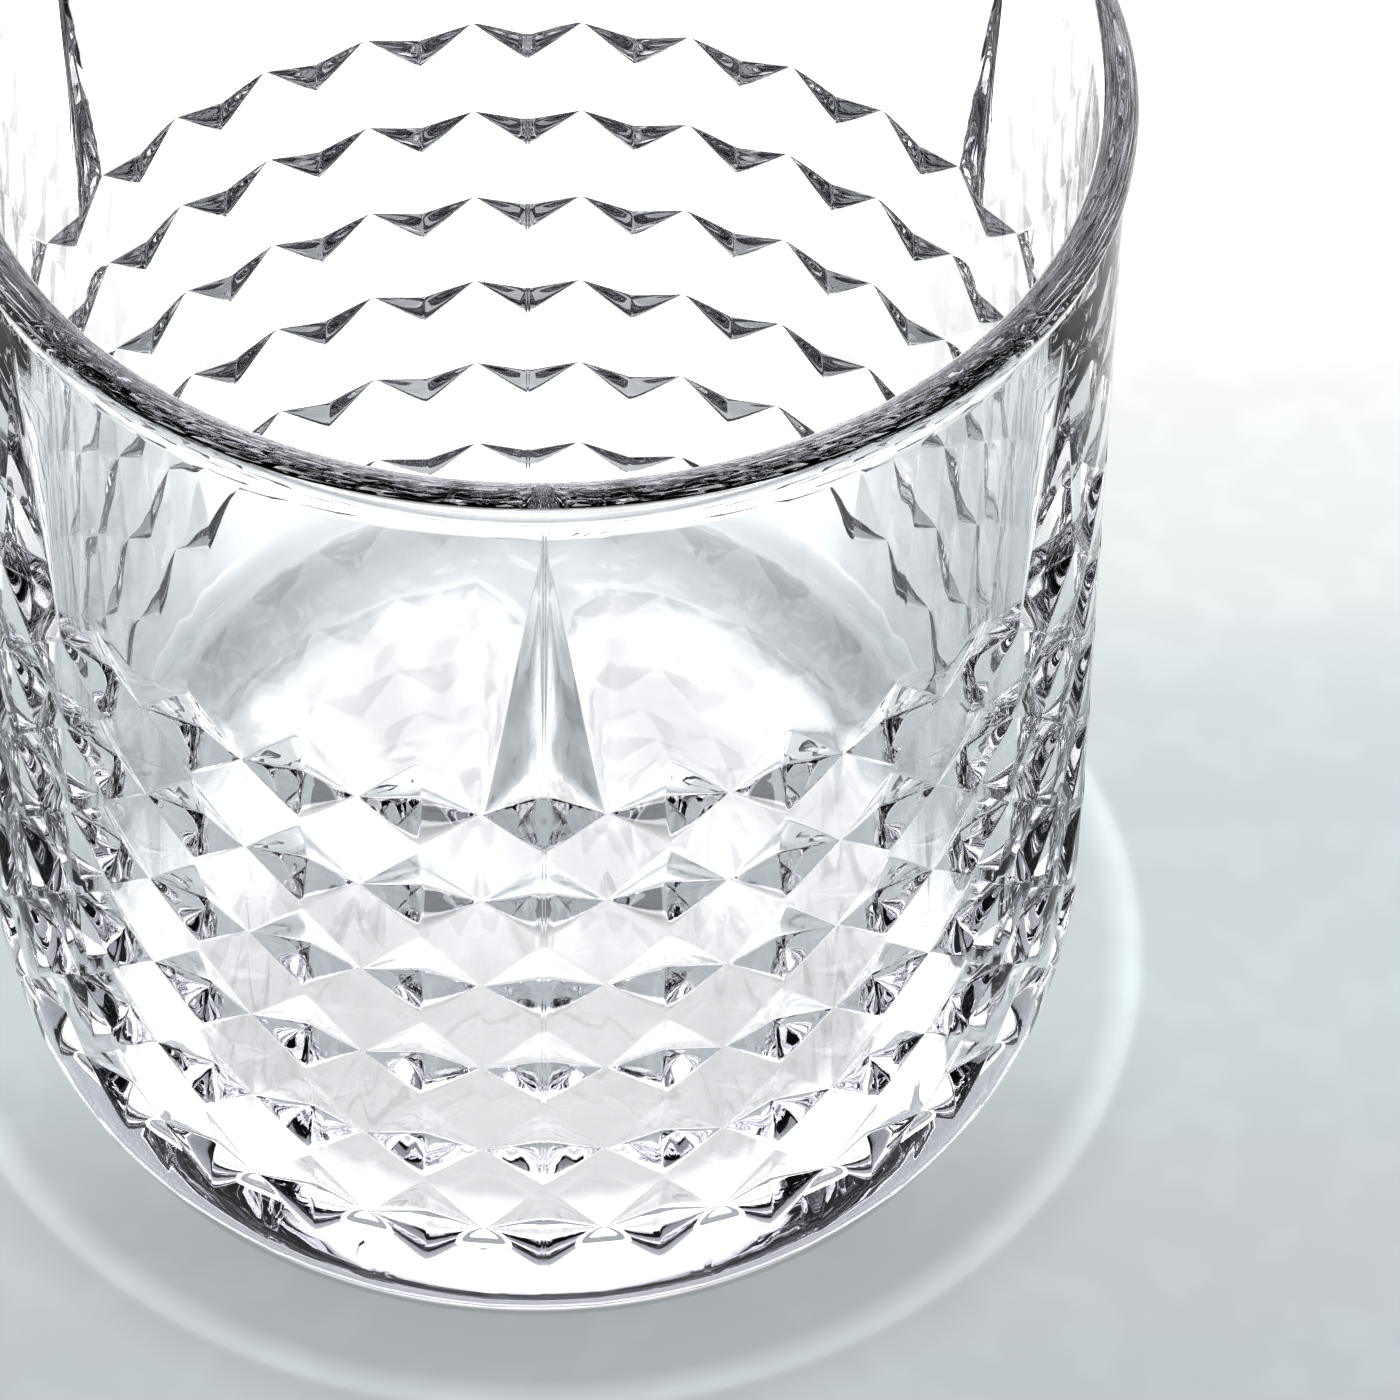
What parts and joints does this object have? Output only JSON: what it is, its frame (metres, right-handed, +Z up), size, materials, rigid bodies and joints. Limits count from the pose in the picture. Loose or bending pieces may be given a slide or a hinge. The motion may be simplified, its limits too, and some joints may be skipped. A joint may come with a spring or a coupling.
{
  "type": "whiskey tumbler",
  "caption": "Straight-sided drinking tumbler in clear pressed glass: rounded lip, plain band with tall tapered flutes, wall of diamond-shaped notches, thick base with rounded heel and foot ring",
  "frame": {"origin": "centre of the circle the foot rests on, on the table plane", "axes": "+Z up along the axis of the glass; column 0 of the pattern, with a tall flute above it, faces -Y"},
  "size_m": [0.082, 0.082, 0.088],
  "materials": {
    "clear_glass": "fire-polished, clear"
  },
  "bodies": {
    "root": {"lip": "clear_glass", "fluted_band": "clear_glass", "diamond_wall": "clear_glass", "base": "clear_glass"}
  },
  "joints": []
}
